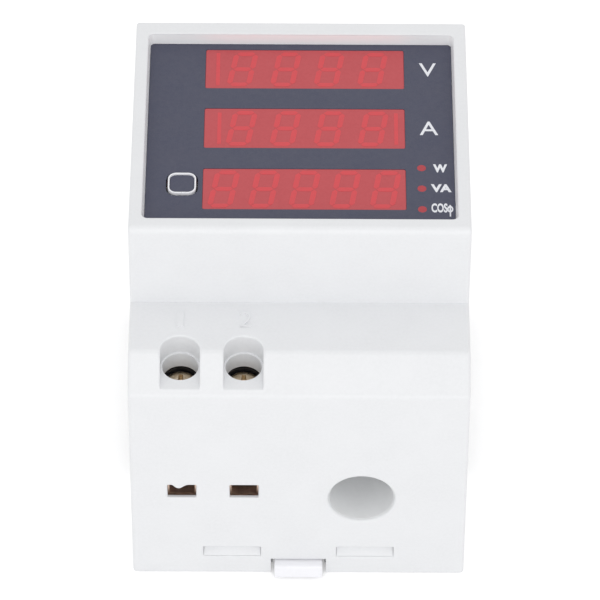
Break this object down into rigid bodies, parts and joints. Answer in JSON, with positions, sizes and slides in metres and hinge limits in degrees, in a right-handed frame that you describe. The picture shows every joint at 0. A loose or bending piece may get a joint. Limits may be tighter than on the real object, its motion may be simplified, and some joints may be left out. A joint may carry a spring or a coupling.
{
  "type": "din rail energy meter",
  "caption": "Stepped white rail-mount housing with a recessed dark panel of red digit windows, a key, indicator dots, screw terminals, a cable hole and a sliding rail clip.",
  "frame": {"origin": "middle of the rail channel, in the plane of the case's back, which the meter rests on", "axes": "+X along the rail, terminals on the -X side; +Y from the terminal end to the far end; +Z out of the display"},
  "size_m": [0.053, 0.0805, 0.062],
  "materials": {
    "white_abs": "fine satin moulded ABS",
    "clip_white": "satin moulded acetal",
    "dark_panel": "printed sheet, fine matt grain",
    "red_acrylic": "red tinted sheet, semi gloss",
    "red_lens": "red tinted resin",
    "black_resin": "black moulded resin",
    "board_green": "solder mask",
    "plated_steel": "yellowish zinc plating",
    "brass": "plain",
    "tinned_copper": "tinned",
    "yellow_film": "epoxy case",
    "blue_sleeve": "shrink sleeve and dipped coating",
    "black_coating": "coated wound core"
  },
  "bodies": {
    "case": {"housing": "white_abs", "rear_cover": "white_abs", "cable_sleeve": "white_abs", "front_overlay": "dark_panel", "display_filter": "red_acrylic", "display_voltage": "red_lens", "display_current": "red_lens", "display_power": "red_lens", "indicator_led_1": "red_lens", "indicator_led_2": "red_lens", "indicator_led_3": "red_lens", "key_switch": "black_resin", "terminal_block": "black_resin", "board_header": "black_resin", "measuring_chip": "black_resin", "driver_chip": "black_resin", "display_board": "board_green", "main_board": "board_green", "fuse_resistor": "board_green", "clip_spring": "plated_steel", "display_board_screw_1": "plated_steel", "display_board_screw_2": "plated_steel", "display_board_screw_3": "plated_steel", "display_board_screw_4": "plated_steel", "main_board_screw_1": "plated_steel", "main_board_screw_2": "plated_steel", "main_board_screw_3": "plated_steel", "main_board_screw_4": "plated_steel", "contact_bar_1": "tinned_copper", "contact_bar_2": "tinned_copper", "core_lead_1": "tinned_copper", "core_lead_2": "tinned_copper", "film_capacitor": "yellow_film", "electrolytic_capacitor": "blue_sleeve", "varistor": "blue_sleeve", "transformer_core": "black_coating"},
    "rail_clip": {"rail_clip": "clip_white"},
    "key": {"key_cap": "white_abs", "key_plunger": "black_resin"},
    "terminal_screw_1": {"terminal_screw_1": "plated_steel"},
    "terminal_screw_2": {"terminal_screw_2": "plated_steel"},
    "clamp_cage_1": {"clamp_cage_1": "brass"},
    "clamp_cage_2": {"clamp_cage_2": "brass"}
  },
  "joints": [
    {"name": "clip_slide", "type": "slide", "parent": "case", "child": "rail_clip", "axis": [0, -1, 0], "range_m": [0, 0.0035], "stiffness_N_per_m": 900, "springref_m": -0.0015, "deforming": ["clip_spring"]},
    {"name": "key_press", "type": "slide", "parent": "case", "child": "key", "axis": [0, 0, -1], "range_m": [0, 0.00025], "stiffness_N_per_m": 4000, "springref_m": -0.0001},
    {"name": "screw_1_turn", "type": "hinge", "parent": "case", "child": "terminal_screw_1", "pos_m": [-0.0184, -0.0338, 0.0387], "axis": [0, 0, -1], "range_deg": [0, 1440]},
    {"name": "cage_1_rise", "type": "slide", "parent": "case", "child": "clamp_cage_1", "axis": [0, 0, 1], "range_m": [0, 0.0024]},
    {"name": "screw_2_turn", "type": "hinge", "parent": "case", "child": "terminal_screw_2", "pos_m": [-0.0086, -0.0338, 0.0387], "axis": [0, 0, -1], "range_deg": [0, 1440]},
    {"name": "cage_2_rise", "type": "slide", "parent": "case", "child": "clamp_cage_2", "axis": [0, 0, 1], "range_m": [0, 0.0024]}
  ],
  "couplings": [
    {"joint": "screw_1_turn", "follows": "cage_1_rise", "rad_per_m": 10472},
    {"joint": "screw_2_turn", "follows": "cage_2_rise", "rad_per_m": 10472}
  ]
}
